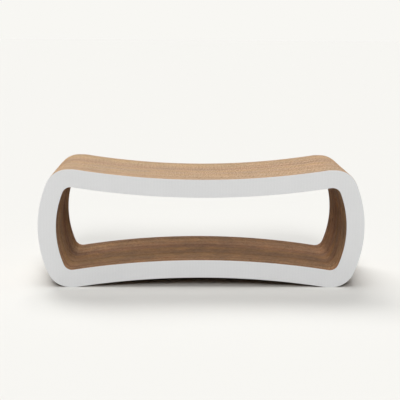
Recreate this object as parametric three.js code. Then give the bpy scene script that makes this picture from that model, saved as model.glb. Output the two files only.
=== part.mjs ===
// Loop-shaped cat scratcher of glued cardboard: a stack of corrugated rings between two white cover boards.
// Millimetres, +Z up. The origin is on the floor, at the middle of the footprint. X runs along the length,
// and Y through the stack, from the front cover (-Y) to the rear cover (+Y).
import * as THREE from "three";

// Outline of the ring, which every sheet and cover shares
const LENGTH = 700; // over the middles of the two bowed ends
const HEIGHT = 257; // from the floor to the crests of the upper corners
const WAIST_DIP = 21.3; // how deep the top and the bottom are hollowed at the middle of the length
const END_BOW = 16.2; // how far the middle of an end stands out past its corners
const CORNER_RADIUS = 50; // outer corners
const FOOT_FLAT = 10; // straight crest of each corner, which the scratcher stands on either way up
const WALL = 38.7; // width of the ring along the ends and the hollows
const WINDOW_CORNER_RADIUS = 19; // corners of the opening

// Stack, front to rear
const SHEET_COUNT = 45;
const SHEET_THICKNESS = 4.8; // one single-wall corrugated sheet
const COVER_THICKNESS = 2.4; // white-faced board
const GLUE_LINE = 0.2; // left between neighbouring layers

const ARC_TOLERANCE = 0.6; // greatest distance between an arc and the straight facets that stand for it
const SAME_POINT = 0.01; // outline points nearer to each other than this are one point

const KRAFT = new THREE.MeshStandardMaterial({ color: 0xb58e66, roughness: 0.92, metalness: 0 });
const WHITE_BOARD = new THREE.MeshStandardMaterial({ color: 0xe6e6e4, roughness: 0.6, metalness: 0 });

// The outline is symmetric about both axes, so its upper right quarter gives it all. It is drawn in a plane
// with X along the length and Y up, and with the origin at half height.
const waistRise = HEIGHT / 2 - WAIST_DIP;
const cornerRise = HEIGHT / 2 - CORNER_RADIUS;
const cornerAtEnd = new THREE.Vector2(LENGTH / 2 - END_BOW - CORNER_RADIUS, cornerRise);
const cornerAtWaist = new THREE.Vector2(cornerAtEnd.x - FOOT_FLAT, cornerRise);

// Each end touches its two corners from outside, as a large circle round smaller ones.
const endRadius = CORNER_RADIUS + (END_BOW ** 2 + cornerRise ** 2) / (2 * END_BOW);
const endCentre = new THREE.Vector2(LENGTH / 2 - endRadius, 0);

// Each hollow touches its two corners as a circle beside them.
const waistDrop = waistRise - cornerRise;
const waistReach = cornerAtWaist.x ** 2 + waistDrop ** 2 - CORNER_RADIUS ** 2;
const waistRadius = waistReach / (2 * (CORNER_RADIUS - waistDrop));
const waistCentre = new THREE.Vector2(0, waistRise + waistRadius);

// The centre of the window's corner, at these distances from the centres of the end and of the hollow.
function windowCorner(fromEnd, fromWaist) {
  const between = waistCentre.clone().sub(endCentre);
  const along = (between.lengthSq() + fromEnd ** 2 - fromWaist ** 2) / (2 * between.length());
  const across = Math.sqrt(fromEnd ** 2 - along ** 2);
  const way = between.normalize();
  const outward = new THREE.Vector2(way.y, -way.x);
  return endCentre.clone().addScaledVector(way, along).addScaledVector(outward, across);
}

function arcPoints(centre, radius, from, to) {
  const facetAngle = 2 * Math.acos(1 - Math.min(ARC_TOLERANCE / radius, 1));
  const facets = Math.ceil(Math.abs(to - from) / facetAngle);
  return Array.from({ length: facets + 1 }, (_, i) => {
    const angle = from + ((to - from) * i) / facets;
    return new THREE.Vector2(Math.cos(angle), Math.sin(angle)).multiplyScalar(radius).add(centre);
  });
}

// A closed outline whose ends and hollows lie inset from the outer edge. Its corner is drawn about two
// centres, which lie apart where the crest is straight.
function ringOutline(inset, cornerRadius, centreAtEnd, centreAtWaist) {
  const crest = Math.PI / 2;
  const endTurn = centreAtEnd.clone().sub(endCentre).angle();
  const waistTurn = waistCentre.clone().sub(centreAtWaist).angle();
  const quarter = [
    ...arcPoints(endCentre, endRadius - inset, 0, endTurn),
    ...arcPoints(centreAtEnd, cornerRadius, endTurn, crest),
    ...arcPoints(centreAtWaist, cornerRadius, crest, waistTurn),
    ...arcPoints(waistCentre, waistRadius + inset, waistTurn - Math.PI, -crest),
  ];
  const upperHalf = [...quarter, ...quarter.map((p) => new THREE.Vector2(-p.x, p.y)).reverse()];
  const loop = [...upperHalf, ...upperHalf.map((p) => new THREE.Vector2(p.x, -p.y)).reverse()];
  return loop.filter((p, i) => p.distanceTo(loop[(i + 1) % loop.length]) > SAME_POINT);
}

const cornerInset = WALL + WINDOW_CORNER_RADIUS;
const corner = windowCorner(endRadius - cornerInset, waistRadius + cornerInset);
const ring = new THREE.Shape(ringOutline(0, CORNER_RADIUS, cornerAtEnd, cornerAtWaist));
ring.holes.push(new THREE.Path(ringOutline(WALL, WINDOW_CORNER_RADIUS, corner, corner)));

// One layer of the stack, standing upright, with its front face at the given place along Y.
function layer(name, frontFace, thickness, material) {
  const geometry = new THREE.ExtrudeGeometry(ring, { depth: thickness, bevelEnabled: false });
  const mesh = new THREE.Mesh(geometry, material);
  mesh.name = name;
  mesh.rotation.x = Math.PI / 2;
  mesh.position.set(0, frontFace + thickness, HEIGHT / 2);
  return mesh;
}

const sheetPitch = SHEET_THICKNESS + GLUE_LINE;
const depth = 2 * COVER_THICKNESS + SHEET_COUNT * sheetPitch + GLUE_LINE;
const firstSheet = COVER_THICKNESS + GLUE_LINE - depth / 2;

const scratcher = new THREE.Group();
scratcher.add(layer("front_cover", -depth / 2, COVER_THICKNESS, WHITE_BOARD));
for (let i = 0; i < SHEET_COUNT; i++) {
  const name = `corrugated_sheet_${String(i + 1).padStart(2, "0")}`;
  scratcher.add(layer(name, firstSheet + i * sheetPitch, SHEET_THICKNESS, KRAFT));
}
scratcher.add(layer("rear_cover", depth / 2 - COVER_THICKNESS, COVER_THICKNESS, WHITE_BOARD));

export default scratcher;
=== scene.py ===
"""A loop-shaped cat scratcher: ring-shaped corrugated sheets glued between two white-faced covers."""

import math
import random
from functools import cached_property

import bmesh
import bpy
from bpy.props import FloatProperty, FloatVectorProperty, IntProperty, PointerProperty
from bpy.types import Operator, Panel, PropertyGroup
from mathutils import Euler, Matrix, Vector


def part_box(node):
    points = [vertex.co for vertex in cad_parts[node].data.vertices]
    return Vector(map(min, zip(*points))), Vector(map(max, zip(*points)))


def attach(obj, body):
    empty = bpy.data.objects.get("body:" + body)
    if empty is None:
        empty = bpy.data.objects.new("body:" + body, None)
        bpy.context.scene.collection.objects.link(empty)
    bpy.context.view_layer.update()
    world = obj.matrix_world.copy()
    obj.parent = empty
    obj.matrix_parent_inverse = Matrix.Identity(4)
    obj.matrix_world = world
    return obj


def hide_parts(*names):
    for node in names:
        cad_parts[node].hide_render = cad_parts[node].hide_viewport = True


bl_info = {
    "name": "Cardboard Loop Scratcher",
    "version": (1, 0, 0),
    "blender": (4, 5, 0),
    "location": "View3D > Sidebar > Scratcher",
    "description": "Models the fluted sheets and white covers of a cardboard cat scratcher",
    "category": "Object",
}

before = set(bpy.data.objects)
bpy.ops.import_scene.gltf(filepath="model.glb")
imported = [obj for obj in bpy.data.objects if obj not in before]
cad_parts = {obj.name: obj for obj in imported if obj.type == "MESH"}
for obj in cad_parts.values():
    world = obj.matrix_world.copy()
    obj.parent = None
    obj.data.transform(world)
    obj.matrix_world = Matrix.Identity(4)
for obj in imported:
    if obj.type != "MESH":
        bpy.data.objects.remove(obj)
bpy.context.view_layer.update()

MM = 0.001
SHEET_NODES = sorted(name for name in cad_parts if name.startswith("corrugated_sheet_"))
FRONT_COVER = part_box("front_cover")
REAR_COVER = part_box("rear_cover")
FIRST_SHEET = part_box(SHEET_NODES[0])
SECOND_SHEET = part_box(SHEET_NODES[1])
SHEET_PITCH = SECOND_SHEET[0].y - FIRST_SHEET[0].y
SHEET_CLEARANCE = 0.03 * MM
MIDDLE_HEIGHT = (FRONT_COVER[0].z + FRONT_COVER[1].z) / 2

ACROSS_STACK = Vector((0, 1, 0))


class ScratcherSizes(PropertyGroup):
    """Sizes of the ring that every layer is cut to, and of the papers that the layers are made of."""

    length: FloatProperty(
        name="Length", description="Over the middles of the two bowed ends",
        default=FRONT_COVER[1].x - FRONT_COVER[0].x, unit="LENGTH")
    height: FloatProperty(
        name="Height", description="From the floor to the crests of the upper corners",
        default=FRONT_COVER[1].z - FRONT_COVER[0].z, unit="LENGTH")
    waist_dip: FloatProperty(
        name="Waist dip", description="How deep the top and the bottom are hollowed at the middle",
        default=21.3 * MM, unit="LENGTH")
    end_bow: FloatProperty(
        name="End bow", description="How far the middle of an end stands out past its corners",
        default=16.2 * MM, unit="LENGTH")
    corner_radius: FloatProperty(
        name="Corner radius", description="Outer corners", default=50 * MM, unit="LENGTH")
    foot_flat: FloatProperty(
        name="Foot flat", description="Straight crest of each corner", default=10 * MM, unit="LENGTH")
    wall: FloatProperty(
        name="Wall", description="Width of the ring", default=38.7 * MM, unit="LENGTH")
    window_corner: FloatProperty(
        name="Window corner", description="Radius of the window's corners", default=19 * MM, unit="LENGTH")
    sheet: FloatProperty(
        name="Sheet", description="Thickness of one corrugated sheet with its share of the glue",
        default=SHEET_PITCH - SHEET_CLEARANCE, unit="LENGTH")
    cover: FloatProperty(
        name="Cover", description="Thickness of a cover board",
        default=FRONT_COVER[1].y - FRONT_COVER[0].y, unit="LENGTH")
    liner: FloatProperty(
        name="Liner", description="Thickness of the flat papers of a board",
        default=0.6 * MM, unit="LENGTH")
    fluting: FloatProperty(
        name="Fluting", description="Thickness of the wavy paper", default=0.5 * MM, unit="LENGTH")
    sheet_flutes: IntProperty(
        name="Sheet flutes", description="Waves along a corrugated sheet", default=80)
    cover_flutes: IntProperty(
        name="Cover flutes", description="Waves along a cover board", default=110)
    unevenness: FloatProperty(
        name="Unevenness", description="How far the wavy paper may stray from a true wave",
        default=0.12 * MM, unit="LENGTH")
    stagger: FloatProperty(
        name="Stagger", description="How far a sheet may lie out of line with the rest",
        default=0.45 * MM, unit="LENGTH")
    cover_edge: FloatProperty(
        name="Cover edge", description="Rounding of the edges of a cover's white face",
        default=0.25 * MM, unit="LENGTH")


class ScratcherColours(PropertyGroup):
    """Colours of the papers, with painted shade for the kraft along the window, and of the studio."""

    white_face: FloatVectorProperty(
        name="White face", description="Coated face of the covers", subtype="COLOR",
        default=(0.9, 0.905, 0.91))
    liner: FloatVectorProperty(
        name="Liner", description="Flat kraft papers near the ring's outer edge", subtype="COLOR",
        default=(0.612, 0.416, 0.256))
    fluting: FloatVectorProperty(
        name="Fluting", description="Wavy kraft paper near the ring's outer edge", subtype="COLOR",
        default=(0.563, 0.376, 0.228))
    cut_edge: FloatVectorProperty(
        name="Cut edge", description="Outer edge, where the die has cut the papers", subtype="COLOR",
        default=(0.712, 0.51, 0.338))
    # The three window colours are the kraft colours with painted shade: darker and redder, as the ring's
    # inside lies in shade
    painted_shade_liner: FloatVectorProperty(
        name="Window liner", description="Flat kraft papers along the window", subtype="COLOR",
        default=(0.431, 0.242, 0.126))
    painted_shade_fluting: FloatVectorProperty(
        name="Window fluting", description="Wavy kraft paper along the window", subtype="COLOR",
        default=(0.396, 0.219, 0.112))
    painted_shade_cut_edge: FloatVectorProperty(
        name="Window cut edge", description="The window's edge, where the die has cut the papers",
        subtype="COLOR", default=(0.502, 0.297, 0.166))
    floor: FloatVectorProperty(
        name="Floor", description="Studio floor as the camera sees it", subtype="COLOR",
        default=(0.732, 0.725, 0.698))
    floor_bounce: FloatVectorProperty(
        name="Floor bounce", description="Studio floor as it throws light back on the papers",
        subtype="COLOR", default=(0.483, 0.478, 0.461))
    background: FloatVectorProperty(
        name="Background", description="What the camera sees past the floor", subtype="COLOR",
        default=(0.939, 0.930, 0.896))


def deselect_all():
    if bpy.context.object and bpy.context.object.mode != "OBJECT":
        bpy.ops.object.mode_set(mode="OBJECT")
    bpy.ops.object.select_all(action="DESELECT")


def make_active(obj):
    deselect_all()
    obj.select_set(True)
    bpy.context.view_layer.objects.active = obj


def start_editing(obj):
    make_active(obj)
    bpy.ops.object.mode_set(mode="EDIT")


def stop_editing():
    bpy.ops.object.mode_set(mode="OBJECT")


def select_vertices(obj, wanted):
    """In edit mode, selects just the vertices that the test wants."""
    bpy.ops.mesh.select_mode(type="VERT")
    bpy.ops.mesh.select_all(action="DESELECT")
    mesh = bmesh.from_edit_mesh(obj.data)
    for vertex in mesh.verts:
        vertex.select_set(wanted(vertex.co))
    mesh.select_flush_mode()
    bmesh.update_edit_mesh(obj.data)


def select_faces(obj, wanted):
    """In edit mode, selects just the faces that the test wants."""
    bpy.ops.mesh.select_mode(type="FACE")
    bpy.ops.mesh.select_all(action="DESELECT")
    mesh = bmesh.from_edit_mesh(obj.data)
    for face in mesh.faces:
        face.select_set(wanted(face))
    mesh.select_flush_mode()
    bmesh.update_edit_mesh(obj.data)


def apply_modifier(obj, kind, **settings):
    make_active(obj)
    bpy.ops.object.modifier_add(type=kind)
    modifier = obj.modifiers[-1]
    for name, value in settings.items():
        setattr(modifier, name, value)
    bpy.ops.object.modifier_apply(modifier=modifier.name)


def copy_of(obj, name):
    make_active(obj)
    bpy.ops.object.duplicate(linked=False)
    copy = bpy.context.object
    copy.name = name
    copy.data.name = name
    return copy


def remove(*objs):
    deselect_all()
    for obj in objs:
        obj.select_set(True)
    bpy.ops.object.delete()


def join(into, *others):
    make_active(into)
    for obj in others:
        obj.select_set(True)
    bpy.ops.object.join()
    return into


class RingArcs:
    """The arcs of the ring's upper right quarter, about the ring's middle, in the plane of the sheets."""

    END_STEPS = 10
    CORNER_STEPS = 12
    BLEND_STEPS = 2
    WAIST_STEPS = 14

    def __init__(self, sizes):
        corner_rise = sizes.height / 2 - sizes.corner_radius
        waist_rise = sizes.height / 2 - sizes.waist_dip
        self.corner_at_end = Vector((sizes.length / 2 - sizes.end_bow - sizes.corner_radius, corner_rise))
        self.corner_at_waist = self.corner_at_end - Vector((sizes.foot_flat, 0))
        self.end_radius = sizes.corner_radius + (sizes.end_bow**2 + corner_rise**2) / (2 * sizes.end_bow)
        self.end = Vector((sizes.length / 2 - self.end_radius, 0))
        drop = waist_rise - corner_rise
        reach = self.corner_at_waist.x**2 + drop**2 - sizes.corner_radius**2
        self.waist_radius = reach / (2 * (sizes.corner_radius - drop))
        self.waist = Vector((0, waist_rise + self.waist_radius))
        inset = sizes.wall + sizes.window_corner
        self.window_corner = self.meeting(self.end_radius - inset, self.waist_radius + inset)

    def meeting(self, from_end, from_waist):
        """The point at these distances from the end's centre and from the waist's."""
        between = self.waist - self.end
        along = (between.length_squared + from_end**2 - from_waist**2) / (2 * between.length)
        across = math.sqrt(from_end**2 - along**2)
        way = between.normalized()
        return self.end + way * along + Vector((way.y, -way.x)) * across

    def turn_at_end(self, corner):
        way = corner - self.end
        return math.atan2(way.y, way.x)

    def turn_at_waist(self, corner):
        way = self.waist - corner
        return math.atan2(way.y, way.x)


def sweep(centre, angle, steps):
    """Draws an arc on from the selected vertex, anticlockwise as seen from the front."""
    bpy.ops.mesh.spin(steps=steps, angle=angle, center=(centre.x, 0, centre.y), axis=ACROSS_STACK)


PICKING_REACH = 1 * MM
MERGING_REACH = 0.01 * MM


def ring_pattern(sizes):
    """A flat ring of quads about the origin, in the XZ plane: the shape that every layer is cut to."""
    arcs = RingArcs(sizes)
    crest = math.pi / 2
    start = Vector((sizes.length / 2, 0, 0))
    deselect_all()
    bpy.ops.mesh.primitive_plane_add(size=sizes.foot_flat, location=start)
    pattern = bpy.context.object
    pattern.name = "ring_pattern"
    bpy.ops.object.transform_apply(location=True, rotation=False, scale=False)
    bpy.ops.object.mode_set(mode="EDIT")
    bpy.ops.mesh.select_mode(type="VERT")
    bpy.ops.mesh.select_all(action="SELECT")
    bpy.ops.mesh.merge(type="CENTER")

    end_turn = arcs.turn_at_end(arcs.corner_at_end)
    waist_turn = arcs.turn_at_waist(arcs.corner_at_waist)
    sweep(arcs.end, end_turn, arcs.END_STEPS)
    sweep(arcs.corner_at_end, crest - end_turn, arcs.CORNER_STEPS)
    bpy.ops.mesh.extrude_region_move(TRANSFORM_OT_translate={"value": (-sizes.foot_flat, 0, 0)})
    sweep(arcs.corner_at_waist, waist_turn - crest, arcs.BLEND_STEPS)
    sweep(arcs.waist, crest - waist_turn, arcs.WAIST_STEPS)

    select_vertices(pattern, lambda co: (co - start).length < PICKING_REACH)
    bpy.ops.mesh.duplicate_move(TRANSFORM_OT_translate={"value": (-sizes.wall, 0, 0)})
    end_turn = arcs.turn_at_end(arcs.window_corner)
    waist_turn = arcs.turn_at_waist(arcs.window_corner)
    sweep(arcs.end, end_turn, arcs.END_STEPS)
    sweep(arcs.window_corner, waist_turn - end_turn, arcs.CORNER_STEPS + 1 + arcs.BLEND_STEPS)
    sweep(arcs.waist, crest - waist_turn, arcs.WAIST_STEPS)

    bpy.ops.mesh.select_mode(type="EDGE")
    bpy.ops.mesh.select_all(action="SELECT")
    bpy.ops.mesh.bridge_edge_loops()
    stop_editing()
    apply_modifier(pattern, "MIRROR", use_axis=(True, False, True), merge_threshold=MERGING_REACH)
    return pattern


OUTLINE_SMOOTHING = math.radians(20)
FLUTE_SMOOTHING = math.radians(50)
SHARP_EDGE = math.radians(45)
ROUNDING_STEPS = 2
# A face whose normal has less than this along Y is a cut edge
CUT_EDGE_LEAN = 0.5


def paper_ring(pattern, name, front, thickness, face_paper, edge_paper):
    """A flat paper cut to the pattern, with its front at the given place along Y."""
    ring = copy_of(pattern, name)
    start_editing(ring)
    bpy.ops.mesh.select_all(action="SELECT")
    bpy.ops.transform.translate(value=(0, front, 0))
    bpy.ops.mesh.extrude_region_move(TRANSFORM_OT_translate={"value": (0, thickness, 0)})
    bpy.ops.mesh.select_all(action="SELECT")
    bpy.ops.mesh.normals_make_consistent(inside=False)
    ring.data.materials.append(face_paper)
    ring.data.materials.append(edge_paper)
    select_faces(ring, lambda face: abs(face.normal.y) < CUT_EDGE_LEAN)
    ring.active_material_index = 1
    bpy.ops.object.material_slot_assign()
    stop_editing()
    bpy.ops.object.shade_smooth_by_angle(angle=OUTLINE_SMOOTHING)
    return ring


def round_face_edges(ring, front, radius):
    """Rounds the edges of a paper's front face, as a cutting die leaves them."""
    start_editing(ring)
    bpy.ops.mesh.select_mode(type="EDGE")
    bpy.ops.mesh.select_all(action="DESELECT")
    mesh = bmesh.from_edit_mesh(ring.data)
    for edge in mesh.edges:
        on_face = all(abs(vertex.co.y - front) < radius / 2 for vertex in edge.verts)
        edge.select_set(on_face and edge.calc_face_angle(0) > SHARP_EDGE)
    bmesh.update_edit_mesh(ring.data)
    bpy.ops.mesh.bevel(offset=radius, segments=ROUNDING_STEPS, affect="EDGES", material=0)
    stop_editing()


FLUTE_STEPS = 10
# The wavy paper is cut from a piece that is longer than the ring by so many flutes
SPARE_FLUTES = 2


def fluted_paper(pattern, sizes, papers, room, flutes, phase, seed):
    """The wavy paper of a board, cut to the pattern. It fills the room between the board's flat papers."""
    columns = (flutes + SPARE_FLUTES) * FLUTE_STEPS
    width = sizes.length / flutes * (flutes + SPARE_FLUTES)
    overhang = 2 * sizes.fluting
    swing = (room - sizes.fluting) / 2 - sizes.unevenness
    deselect_all()
    bpy.ops.mesh.primitive_grid_add(
        x_subdivisions=columns, y_subdivisions=1, size=1, rotation=(math.pi / 2, 0, 0))
    wave = bpy.context.object
    wave.name = "wavy_paper"
    wave.scale = (width, sizes.height + 2 * overhang, 1)
    bpy.ops.object.transform_apply(location=True, rotation=True, scale=True)
    start_editing(wave)
    for step in range(FLUTE_STEPS):
        select_vertices(wave, lambda co: round((co.x / width + 0.5) * columns) % FLUTE_STEPS == step)
        rise = swing * math.sin(math.tau * (step / FLUTE_STEPS + phase))
        bpy.ops.transform.translate(value=(0, rise, 0))
    bpy.ops.mesh.select_all(action="SELECT")
    bpy.ops.transform.vertex_random(offset=sizes.unevenness, seed=seed)
    stop_editing()
    wave.data.materials.append(papers["fluting"])
    apply_modifier(wave, "SOLIDIFY", thickness=sizes.fluting, offset=0)

    cutter = paper_ring(pattern, "cutter", -room, 2 * room, papers["cut_edge"], papers["cut_edge"])
    apply_modifier(
        wave, "BOOLEAN", operation="INTERSECT", object=cutter, solver="EXACT", material_mode="TRANSFER")
    remove(cutter)
    make_active(wave)
    bpy.ops.object.shade_smooth_by_angle(angle=FLUTE_SMOOTHING)
    return wave


def fluted_board(pattern, sizes, papers, face, thickness, flutes, phase, seed, rounding=0):
    """A board about the origin: a face paper and a back liner with the wavy paper between them."""
    front = -thickness / 2
    back = thickness / 2 - sizes.liner
    board = paper_ring(pattern, "face_paper", front, sizes.liner, papers[face], papers["cut_edge"])
    if rounding:
        round_face_edges(board, front, rounding)
    backing = paper_ring(pattern, "back_liner", back, sizes.liner, papers["liner"], papers["cut_edge"])
    room = thickness - 2 * sizes.liner
    wave = fluted_paper(pattern, sizes, papers, room, flutes, phase, seed)
    return join(board, backing, wave)


class ShaderNodes:
    """Adds nodes to an emptied tree. Each call gives back the socket that the next one takes."""

    def __init__(self, tree):
        self.tree = tree
        tree.nodes.clear()

    def add(self, kind, inputs=(), out=0, **settings):
        node = self.tree.nodes.new(kind)
        for name, value in settings.items():
            setattr(node, name, value)
        for key, value in (inputs.items() if isinstance(inputs, dict) else enumerate(inputs)):
            self.feed(node.inputs[key], value)
        return None if out is None else node.outputs[out]

    def feed(self, socket, value):
        if isinstance(value, bpy.types.NodeSocket):
            self.tree.links.new(value, socket)
        else:
            socket.default_value = value

    def math(self, operation, *values):
        return self.add("ShaderNodeMath", values, operation=operation)

    def seen_directly(self):
        """1 for rays from the camera, and for those that it sees by reflection or through glass."""
        path = self.add("ShaderNodeLightPath").node.outputs
        seen = path["Is Camera Ray"]
        for kind in ("Is Glossy Ray", "Is Transmission Ray"):
            seen = self.math("MAXIMUM", seen, path[kind])
        return seen


NOISE_MIDDLE = 0.5
NOISE_RANGE = (0.3, 0.7)


class SurfaceNodes(ShaderNodes):
    """The nodes of a material that is made anew with one shader."""

    def __init__(self, name):
        self.material = bpy.data.materials.get(name) or bpy.data.materials.new(name)
        self.material.use_nodes = True
        super().__init__(self.material.node_tree)
        surface = self.add("ShaderNodeBsdfPrincipled")
        self.shader = surface.node
        self.add("ShaderNodeOutputMaterial", {"Surface": surface}, out=None)

    @cached_property
    def place(self):
        return self.add("ShaderNodeTexCoord", out="Object")

    def set_input(self, name, value):
        """Gives the shader's input of this name a value or a socket."""
        self.feed(self.shader.inputs[name], value)

    def distance(self, place, point):
        return self.add("ShaderNodeVectorMath", (place, point), out="Value", operation="DISTANCE")

    def noise(self, grain, detail, start=(0, 0, 0)):
        """A noise that varies along X, Y and Z about as many times to the metre as the grain says."""
        place = self.add("ShaderNodeMapping", {"Vector": self.place, "Location": start, "Scale": grain})
        return self.add("ShaderNodeTexNoise", {"Vector": place, "Scale": 1.0, "Detail": detail})

    def between(self, value, low, high, to_low=0.0, to_high=1.0):
        return self.add("ShaderNodeMapRange", (value, low, high, to_low, to_high))

    def ranged(self, noise, to_low, to_high):
        """Brings the range that a noise mostly keeps to into the given one."""
        return self.between(noise, *NOISE_RANGE, to_low, to_high)

    def mixed(self, share, first, second):
        """The first colour where the share is 0 and the second where it is 1."""
        inputs = {0: share, 6: (*first, 1), 7: (*second, 1)}
        return self.add("ShaderNodeMix", inputs, out=2, data_type="RGBA")

    def tone(self, *parts, contrast=1.0):
        """A value about 1 that each noise raises or lowers by its own weight."""
        total = 0.0
        for noise, weight in parts:
            total = self.math("MULTIPLY_ADD", self.math("SUBTRACT", noise, NOISE_MIDDLE), weight, total)
        return self.math("MULTIPLY_ADD", total, contrast, 1.0)

    def bump(self, height, distance, strength):
        normal = self.add("ShaderNodeBump", {"Height": height, "Distance": distance, "Strength": strength})
        self.set_input("Normal", normal)


# How far across the ring, as shares of its width, the papers start and end turning to the window's darker
# colours, which are painted shade
PAINTED_SHADE_START = 0.3
PAINTED_SHADE_END = 0.7


def towards_window(nodes, sizes):
    """0 along the ring's outer edge and 1 along the window: the share of painted shade, and of stronger
    grain.
    """
    arcs = RingArcs(sizes)
    apart = nodes.add("ShaderNodeSeparateXYZ", (nodes.place,)).node.outputs
    along = nodes.math("ABSOLUTE", apart["X"])
    rise = nodes.math("ABSOLUTE", nodes.math("SUBTRACT", apart["Z"], MIDDLE_HEIGHT))
    quarter = nodes.add("ShaderNodeCombineXYZ", {"X": along, "Z": rise})
    from_waist = nodes.distance(quarter, (arcs.waist.x, 0, arcs.waist.y))
    from_end = nodes.distance(quarter, (arcs.end.x, 0, arcs.end.y))
    below_waist = nodes.math("SUBTRACT", from_waist, arcs.waist_radius)
    inside_end = nodes.math("SUBTRACT", arcs.end_radius, from_end)
    depth = nodes.math("MINIMUM", below_waist, inside_end)
    return nodes.between(depth, PAINTED_SHADE_START * sizes.wall, PAINTED_SHADE_END * sizes.wall)


def sheet_shade(nodes):
    """A random number for each sheet of the stack."""
    y = nodes.add("ShaderNodeSeparateXYZ", (nodes.place,), out="Y")
    behind_first = nodes.math("SUBTRACT", y, FIRST_SHEET[0].y)
    number = nodes.math("FLOOR", nodes.math("DIVIDE", behind_first, SHEET_PITCH))
    return nodes.add("ShaderNodeTexWhiteNoise", {"W": number}, noise_dimensions="1D")


# How often each grain of the kraft papers varies to the metre, along X, Y and Z
BATCH_GRAIN = (0.5, 22, 0.5)
# The batch grain is random tone, but where it starts was chosen so that the sheets near the rear come out
# lighter and the middle ones darker: painted light, as from a lamp behind
BATCH_START = (0, 30, 0)
STREAK_GRAIN = (7, 380, 7)
BLOTCH_GRAIN = (22, 22, 22)
SCUFF_GRAIN = (110, 110, 110)
KRAFT_FIBRE_GRAIN = (1900, 1900, 665)

# How much each grain lightens and darkens the kraft papers
SHEET_TONE = 0.18
BATCH_TONE = 0.9
STREAK_TONE = 0.3
BLOTCH_TONE = 0.8
SCUFF_TONE = 0.7
OUTER_CONTRAST = 0.35
WINDOW_CONTRAST = 1.0

# How the grains change the hue and the saturation, and the feel of the surface
BATCH_HUES = (0.491, 0.509)
SHEET_PALING = -0.16
BLOTCH_DEEPENING = 0.2
KRAFT_ROUGHNESS = (0.7, 0.9)
KRAFT_FIBRE_HEIGHT = 0.15 * MM
PAPER_FUZZ = 0.2
CUT_EDGE_FUZZ = 0.4


def kraft_paper(name, colour, painted_shade_colour, sizes, fuzz):
    """Brown paper: sheets and batches of their own shades, with streaks, blotches and loose fibres, and
    painted shade that darkens it towards the window.
    """
    nodes = SurfaceNodes(name)
    window = towards_window(nodes, sizes)
    shade = sheet_shade(nodes)
    batch = nodes.noise(BATCH_GRAIN, detail=1, start=BATCH_START)
    streak = nodes.noise(STREAK_GRAIN, detail=3)
    blotch = nodes.noise(BLOTCH_GRAIN, detail=3)
    scuff = nodes.noise(SCUFF_GRAIN, detail=3)
    fibre = nodes.noise(KRAFT_FIBRE_GRAIN, detail=3)
    value = nodes.tone(
        (shade, SHEET_TONE), (batch, BATCH_TONE), (streak, STREAK_TONE),
        (blotch, BLOTCH_TONE), (scuff, SCUFF_TONE), (fibre, fuzz),
        contrast=nodes.between(window, 0, 1, OUTER_CONTRAST, WINDOW_CONTRAST))
    # Towards the window the colour turns to the darker, redder kraft: painted shade of the ring's inside
    nodes.set_input("Base Color", nodes.add("ShaderNodeHueSaturation", {
        "Hue": nodes.ranged(batch, *BATCH_HUES),
        "Saturation": nodes.tone((shade, SHEET_PALING), (blotch, BLOTCH_DEEPENING)),
        "Value": value,
        "Color": nodes.mixed(window, colour, painted_shade_colour)}))
    nodes.set_input("Roughness", nodes.ranged(fibre, *KRAFT_ROUGHNESS))
    nodes.bump(fibre, KRAFT_FIBRE_HEIGHT, fuzz)
    return nodes.material


# The same for the white paper
CLOUD_GRAIN = (14, 14, 14)
MOTTLE_GRAIN = (420, 420, 420)
WHITE_FIBRE_GRAIN = (2400, 2400, 960)
# The scale at which a wave texture has one wave to the metre
FLUTE_WAVE_SCALE = math.pi / 10
FLUTE_WANDER = 0.6

CLOUD_TONE = 0.05
MOTTLE_TONE = 0.05
WHITE_FIBRE_TONE = 0.04
FLUTE_TONE = 0.012
WHITE_ROUGHNESS = (0.42, 0.58)
FLUTE_RELIEF = 0.5
WHITE_FIBRE_RELIEF = 0.35
WHITE_RELIEF_HEIGHT = 0.06 * MM
WHITE_RELIEF_STRENGTH = 0.5


def white_paper(name, colour, sizes):
    """Coated white paper: a faint mottle, fine fibres and the flutes just telling through the coating."""
    nodes = SurfaceNodes(name)
    cloud = nodes.noise(CLOUD_GRAIN, detail=2)
    mottle = nodes.noise(MOTTLE_GRAIN, detail=3)
    fibre = nodes.noise(WHITE_FIBRE_GRAIN, detail=3)
    flutes = nodes.add("ShaderNodeTexWave", {
        "Vector": nodes.place,
        "Scale": FLUTE_WAVE_SCALE * sizes.cover_flutes / sizes.length,
        "Distortion": FLUTE_WANDER,
        "Detail": 1.0}, out="Fac", wave_profile="SIN")
    value = nodes.tone(
        (cloud, CLOUD_TONE), (mottle, MOTTLE_TONE), (fibre, WHITE_FIBRE_TONE), (flutes, FLUTE_TONE))
    nodes.set_input("Base Color", nodes.add("ShaderNodeHueSaturation", {
        "Value": value, "Color": (*colour, 1)}))
    nodes.set_input("Roughness", nodes.ranged(mottle, *WHITE_ROUGHNESS))
    fibres = nodes.math("MULTIPLY", fibre, WHITE_FIBRE_RELIEF)
    relief = nodes.math("MULTIPLY_ADD", flutes, FLUTE_RELIEF, fibres)
    nodes.bump(relief, WHITE_RELIEF_HEIGHT, WHITE_RELIEF_STRENGTH)
    return nodes.material


def make_papers(colours, sizes):
    """The papers of the boards. Those of kraft darken towards the window, which is painted shade."""
    return {
        "liner": kraft_paper("kraft_liner", colours.liner, colours.painted_shade_liner, sizes, PAPER_FUZZ),
        "fluting": kraft_paper("kraft_fluting", colours.fluting, colours.painted_shade_fluting, sizes, PAPER_FUZZ),
        "cut_edge": kraft_paper(
            "kraft_cut_edge", colours.cut_edge, colours.painted_shade_cut_edge, sizes, CUT_EDGE_FUZZ),
        "white": white_paper("white_coated_face", colours.white_face, sizes),
    }


# Turns that bring the ring's outline back onto itself
HALF_TURNS = [(0, 0, 0), (math.pi, 0, 0), (0, math.pi, 0), (0, 0, math.pi)]
# Where along a flute each kind of sheet begins, as a share of the flute's length
MASTER_PHASES = [0.0, 0.27, 0.61]
STAGGER_SEED = 5


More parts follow.
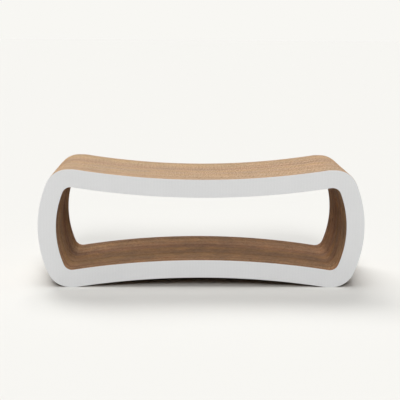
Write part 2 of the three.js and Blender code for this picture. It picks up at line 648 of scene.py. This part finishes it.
class SCRATCHER_OT_corrugated_sheets(Operator):
    """Model the corrugated sheets of the stack"""

    bl_idname = "scratcher.corrugated_sheets"
    bl_label = "Corrugated sheets"

    def execute(self, context):
        sizes = context.scene.scratcher_sizes
        papers = make_papers(context.scene.scratcher_colours, sizes)
        pattern = ring_pattern(sizes)
        masters = [
            fluted_board(pattern, sizes, papers, "liner", sizes.sheet, sizes.sheet_flutes, phase, seed)
            for seed, phase in enumerate(MASTER_PHASES)]
        dice = random.Random(STAGGER_SEED)
        for number, node in enumerate(SHEET_NODES):
            low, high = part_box(node)
            sheet = copy_of(masters[number % len(masters)], f"fluted_sheet_{number + 1:02d}")
            sheet.rotation_euler = dice.choice(HALF_TURNS)
            sideways = dice.uniform(-sizes.stagger, sizes.stagger)
            lift = dice.uniform(0, sizes.stagger)
            sheet.location = (sideways, (low.y + high.y) / 2, MIDDLE_HEIGHT + lift)
            bpy.ops.object.transform_apply(location=True, rotation=True, scale=True)
            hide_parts(node)
            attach(sheet, "root")
        remove(pattern, *masters)
        return {"FINISHED"}


COVER_PHASE = 0.1
COVER_SEED = 9


class SCRATCHER_OT_cover_boards(Operator):
    """Model the white-faced boards on the front and the rear of the stack"""

    bl_idname = "scratcher.cover_boards"
    bl_label = "Cover boards"

    def execute(self, context):
        sizes = context.scene.scratcher_sizes
        papers = make_papers(context.scene.scratcher_colours, sizes)
        pattern = ring_pattern(sizes)
        board = fluted_board(
            pattern, sizes, papers, "white", sizes.cover, sizes.cover_flutes, COVER_PHASE, COVER_SEED,
            rounding=sizes.cover_edge)
        for name, node, corners, turn in (
                ("white_cover_front", "front_cover", FRONT_COVER, 0),
                ("white_cover_rear", "rear_cover", REAR_COVER, math.pi)):
            cover = copy_of(board, name)
            cover.rotation_euler = (0, 0, turn)
            cover.location = (0, (corners[0].y + corners[1].y) / 2, MIDDLE_HEIGHT)
            bpy.ops.object.transform_apply(location=True, rotation=True, scale=True)
            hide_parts(node)
            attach(cover, "root")
        remove(pattern, board)
        return {"FINISHED"}


FLOOR_SIZE = 60


def studio_floor(colours):
    """A plain matt floor, which throws less light back on the papers than it shows to the camera."""
    deselect_all()
    bpy.ops.mesh.primitive_plane_add(size=FLOOR_SIZE)
    floor = bpy.context.object
    floor.name = "studio_floor"
    nodes = SurfaceNodes("studio_floor")
    nodes.set_input("Base Color", nodes.mixed(nodes.seen_directly(), colours.floor_bounce, colours.floor))
    nodes.set_input("Roughness", 1.0)
    nodes.set_input("Specular IOR Level", 0.0)
    floor.data.materials.append(nodes.material)


# The turn goes from the front round to the right, and the turn, height and spread are in degrees
STUDIO_LAMPS = (
    {"name": "front_key", "turn": 0, "height": 37, "spread": 24, "level": 0.45},
    {"name": "overhead", "turn": 0, "height": 82, "spread": 40, "level": 0.48},
    {"name": "left_rear_fill", "turn": -150, "height": 50, "spread": 24, "level": 0.37},
    {"name": "rear_fill", "turn": 180, "height": 60, "spread": 24, "level": 0.28},
)


def studio_lamp(name, turn, height, spread, level):
    """A broad, far lamp. At level 1 it shows a surface that faces it in the surface's own colour."""
    bpy.ops.object.light_add(
        type="SUN", rotation=(math.radians(90 - height), 0, math.radians(turn)))
    lamp = bpy.context.object
    lamp.name = name
    lamp.data.energy = level * math.pi
    lamp.data.angle = math.radians(spread)


def studio_background(scene, colours):
    """A plain colour past the floor, which only shows and gives no light."""
    scene.world = bpy.data.worlds.get("World") or bpy.data.worlds.new("World")
    scene.world.use_nodes = True
    nodes = ShaderNodes(scene.world.node_tree)
    backdrop = nodes.add("ShaderNodeBackground", {
        "Color": (*colours.background, 1), "Strength": nodes.seen_directly()})
    nodes.add("ShaderNodeOutputWorld", {"Surface": backdrop}, out=None)


# Where the photograph was taken from, in metres, and which way the camera looked, in radians
CAMERA_PLACE = (-0.0485, -2.0248, 0.5608)
CAMERA_DIP = 0.1906
CAMERA_TURN = -0.0232
CAMERA_ROLL = 0.0074
PHOTO_WIDTH_PX = 400
FOCAL_LENGTH_PX = 914.5
SENSOR_WIDTH = 36


def studio_camera(scene):
    """A camera that shows the scratcher as the photograph does."""
    bpy.ops.object.camera_add(location=CAMERA_PLACE)
    camera = bpy.context.object
    aim = Euler((math.pi / 2 - CAMERA_DIP, 0, CAMERA_TURN)).to_matrix()
    camera.rotation_euler = (aim @ Matrix.Rotation(CAMERA_ROLL, 3, "Z")).to_euler()
    camera.data.sensor_width = SENSOR_WIDTH
    camera.data.lens = FOCAL_LENGTH_PX / PHOTO_WIDTH_PX * SENSOR_WIDTH
    scene.camera = camera


class SCRATCHER_OT_stage(Operator):
    """Make the floor, the lights and the camera"""

    bl_idname = "scratcher.stage"
    bl_label = "Studio stage"

    def execute(self, context):
        colours = context.scene.scratcher_colours
        studio_floor(colours)
        for lamp in STUDIO_LAMPS:
            studio_lamp(**lamp)
        studio_background(context.scene, colours)
        studio_camera(context.scene)
        context.scene.view_settings.view_transform = "Standard"
        return {"FINISHED"}


class VIEW3D_PT_scratcher(Panel):
    """Sizes, colours and the steps that model the scratcher"""

    bl_label = "Cardboard scratcher"
    bl_space_type = "VIEW_3D"
    bl_region_type = "UI"
    bl_category = "Scratcher"

    def draw(self, context):
        for group in (context.scene.scratcher_sizes, context.scene.scratcher_colours):
            box = self.layout.box()
            for name in group.__annotations__:
                box.prop(group, name)
        for operator in STEPS:
            self.layout.operator(operator.bl_idname)


STEPS = (SCRATCHER_OT_corrugated_sheets, SCRATCHER_OT_cover_boards, SCRATCHER_OT_stage)
CLASSES = (ScratcherSizes, ScratcherColours, *STEPS, VIEW3D_PT_scratcher)


def register():
    for cls in CLASSES:
        bpy.utils.register_class(cls)
    bpy.types.Scene.scratcher_sizes = PointerProperty(type=ScratcherSizes)
    bpy.types.Scene.scratcher_colours = PointerProperty(type=ScratcherColours)


def unregister():
    del bpy.types.Scene.scratcher_colours
    del bpy.types.Scene.scratcher_sizes
    for cls in reversed(CLASSES):
        bpy.utils.unregister_class(cls)


def main():
    register()
    bpy.ops.scratcher.corrugated_sheets()
    bpy.ops.scratcher.cover_boards()
    bpy.ops.scratcher.stage()


if __name__ == "__main__":
    main()
